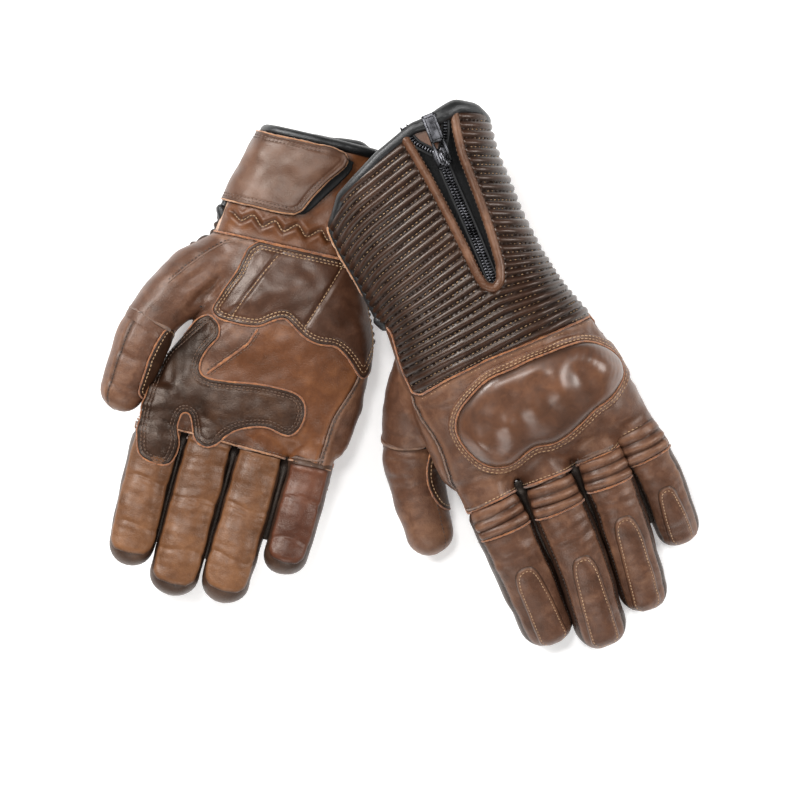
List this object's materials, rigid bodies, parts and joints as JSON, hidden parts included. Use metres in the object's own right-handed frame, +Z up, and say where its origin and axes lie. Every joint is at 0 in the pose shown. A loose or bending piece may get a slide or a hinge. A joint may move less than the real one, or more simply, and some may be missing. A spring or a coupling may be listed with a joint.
{
  "type": "motorcycle riding gloves",
  "caption": "Pair of leather riding gloves with ribbed zip cuffs, moulded knuckle guards, pleated stretch fingers and wrist straps, one lying over the other.",
  "frame": {"origin": "centre of the pair's bounding box in plan, on the surface that the pair lies on", "axes": "+Z up from that surface; +Y towards the cuffs; +X from the palm-up right glove towards the left glove that lies back up"},
  "size_m": [0.3052, 0.2756, 0.0896],
  "materials": {
    "brown_leather": "mottled brown full-grain leather, slightly waxed",
    "tan_leather": "lighter worn tan-brown leather",
    "pale_leather": "pale brown soft leather",
    "dark_leather": "dark brown leather, double stitched",
    "guard_leather": "glossy brown leather over a moulded core",
    "lining": "black knitted lining",
    "black_binding": "soft black edging",
    "zip_tape": "woven black tape",
    "zip_coil": "black moulded chain",
    "hook_tape": "black hook-and-loop tape",
    "gunmetal": "dark plated metal"
  },
  "bodies": {
    "right_hand": {"right_back_panel": "brown_leather", "right_palm_panel": "tan_leather", "right_lining": "lining", "right_knuckle_guard": "guard_leather", "right_stretch_panels": "dark_leather", "right_ribbed_cuff": "brown_leather", "right_palm_cuff": "pale_leather", "right_cuff_binding": "black_binding", "right_zip_tapes": "zip_tape", "right_zip_chain": "zip_coil", "right_zip_welt": "tan_leather", "right_zip_gusset": "brown_leather", "right_heel_pad": "dark_leather", "right_palm_patch": "dark_leather", "right_strap_base": "tan_leather", "right_loop_patch": "hook_tape"},
    "right_index": {"right_index_finger": "brown_leather", "right_index_pad": "guard_leather"},
    "right_middle": {"right_middle_finger": "brown_leather", "right_middle_pad": "guard_leather"},
    "right_ring": {"right_ring_finger": "brown_leather", "right_ring_pad": "guard_leather"},
    "right_little": {"right_little_finger": "brown_leather", "right_little_pad": "guard_leather"},
    "right_thumb_tip": {"right_thumb": "brown_leather", "right_thumb_patch": "dark_leather"},
    "right_slider": {"right_zip_slider": "gunmetal"},
    "right_puller": {"right_zip_puller": "gunmetal"},
    "right_strap": {"right_wrist_strap": "tan_leather", "right_hook_patch": "hook_tape"},
    "left_hand": {"left_back_panel": "brown_leather", "left_palm_panel": "tan_leather", "left_lining": "lining", "left_knuckle_guard": "guard_leather", "left_stretch_panels": "dark_leather", "left_ribbed_cuff": "brown_leather", "left_palm_cuff": "pale_leather", "left_cuff_binding": "black_binding", "left_zip_tapes": "zip_tape", "left_zip_chain": "zip_coil", "left_zip_welt": "tan_leather", "left_zip_gusset": "brown_leather", "left_heel_pad": "dark_leather", "left_palm_patch": "dark_leather", "left_strap_base": "tan_leather", "left_loop_patch": "hook_tape"},
    "left_index": {"left_index_finger": "brown_leather", "left_index_pad": "guard_leather"},
    "left_middle": {"left_middle_finger": "brown_leather", "left_middle_pad": "guard_leather"},
    "left_ring": {"left_ring_finger": "brown_leather", "left_ring_pad": "guard_leather"},
    "left_little": {"left_little_finger": "brown_leather", "left_little_pad": "guard_leather"},
    "left_thumb_tip": {"left_thumb": "brown_leather", "left_thumb_patch": "dark_leather"},
    "left_slider": {"left_zip_slider": "gunmetal"},
    "left_puller": {"left_zip_puller": "gunmetal"},
    "left_strap": {"left_wrist_strap": "tan_leather", "left_hook_patch": "hook_tape"}
  },
  "joints": [
    {"name": "right_index_flex", "type": "hinge", "parent": "right_hand", "child": "right_index", "pos_m": [-0.12674, -0.0413, 0.02862], "axis": [-0.9659, 0.2588, 0], "range_deg": [0, 45]},
    {"name": "right_middle_flex", "type": "hinge", "parent": "right_hand", "child": "right_middle", "pos_m": [-0.10116, -0.04815, 0.0291], "axis": [-0.9659, 0.2588, 0], "range_deg": [0, 45]},
    {"name": "right_ring_flex", "type": "hinge", "parent": "right_hand", "child": "right_ring", "pos_m": [-0.07489, -0.05318, 0.0291], "axis": [-0.9659, 0.2588, 0], "range_deg": [0, 45]},
    {"name": "right_little_flex", "type": "hinge", "parent": "right_hand", "child": "right_little", "pos_m": [-0.04783, -0.0534, 0.0291], "axis": [-0.9659, 0.2588, 0], "range_deg": [0, 45]},
    {"name": "right_thumb_swing", "type": "hinge", "parent": "right_hand", "child": "right_thumb_tip", "pos_m": [-0.12765, 0.02723, 0.02959], "axis": [0, 0, -1], "range_deg": [0, 25]},
    {"name": "right_zip_slide", "type": "slide", "parent": "right_hand", "child": "right_slider", "axis": [-0.2588, -0.9659, 0], "range_m": [0, 0.055]},
    {"name": "right_puller_swing", "type": "hinge", "parent": "right_slider", "child": "right_puller", "pos_m": [-0.04396, 0.09971, 0.00209], "axis": [-0.9659, 0.2588, 0], "range_deg": [0, 150]},
    {"name": "right_strap_open", "type": "hinge", "parent": "right_hand", "child": "right_strap", "pos_m": [-0.07083, 0.1044, 0.04397], "axis": [-0.2588, -0.9659, 0], "range_deg": [0, 90]},
    {"name": "left_glove_lift", "type": "slide", "parent": "right_hand", "child": "left_hand", "axis": [0, 0, 1], "range_m": [0, 0.15]},
    {"name": "left_index_flex", "type": "hinge", "parent": "left_hand", "child": "left_index", "pos_m": [0.05203, -0.07638, 0.037], "axis": [0.9336, 0.3584, 0], "range_deg": [0, 45]},
    {"name": "left_middle_flex", "type": "hinge", "parent": "left_hand", "child": "left_middle", "pos_m": [0.08078, -0.06534, 0.038], "axis": [0.9336, 0.3584, 0], "range_deg": [0, 45]},
    {"name": "left_ring_flex", "type": "hinge", "parent": "left_hand", "child": "left_ring", "pos_m": [0.10585, -0.0525, 0.037], "axis": [0.9336, 0.3584, 0], "range_deg": [0, 45]},
    {"name": "left_little_flex", "type": "hinge", "parent": "left_hand", "child": "left_little", "pos_m": [0.12601, -0.03834, 0.035], "axis": [0.9336, 0.3584, 0], "range_deg": [0, 45]},
    {"name": "left_thumb_swing", "type": "hinge", "parent": "left_hand", "child": "left_thumb_tip", "pos_m": [0.00453, -0.03355, 0.0245], "axis": [0, 0, -1], "range_deg": [0, 25]},
    {"name": "left_zip_slide", "type": "slide", "parent": "left_hand", "child": "left_slider", "axis": [0.3584, -0.9336, 0], "range_m": [0, 0.055]},
    {"name": "left_puller_swing", "type": "hinge", "parent": "left_slider", "child": "left_puller", "pos_m": [0.02293, 0.10687, 0.08835], "axis": [0.9336, 0.3584, 0], "range_deg": [0, 150]},
    {"name": "left_strap_open", "type": "hinge", "parent": "left_hand", "child": "left_strap", "pos_m": [-0.01045, 0.07103, 0.03602], "axis": [-0.3584, 0.9336, 0], "range_deg": [0, 30]}
  ]
}
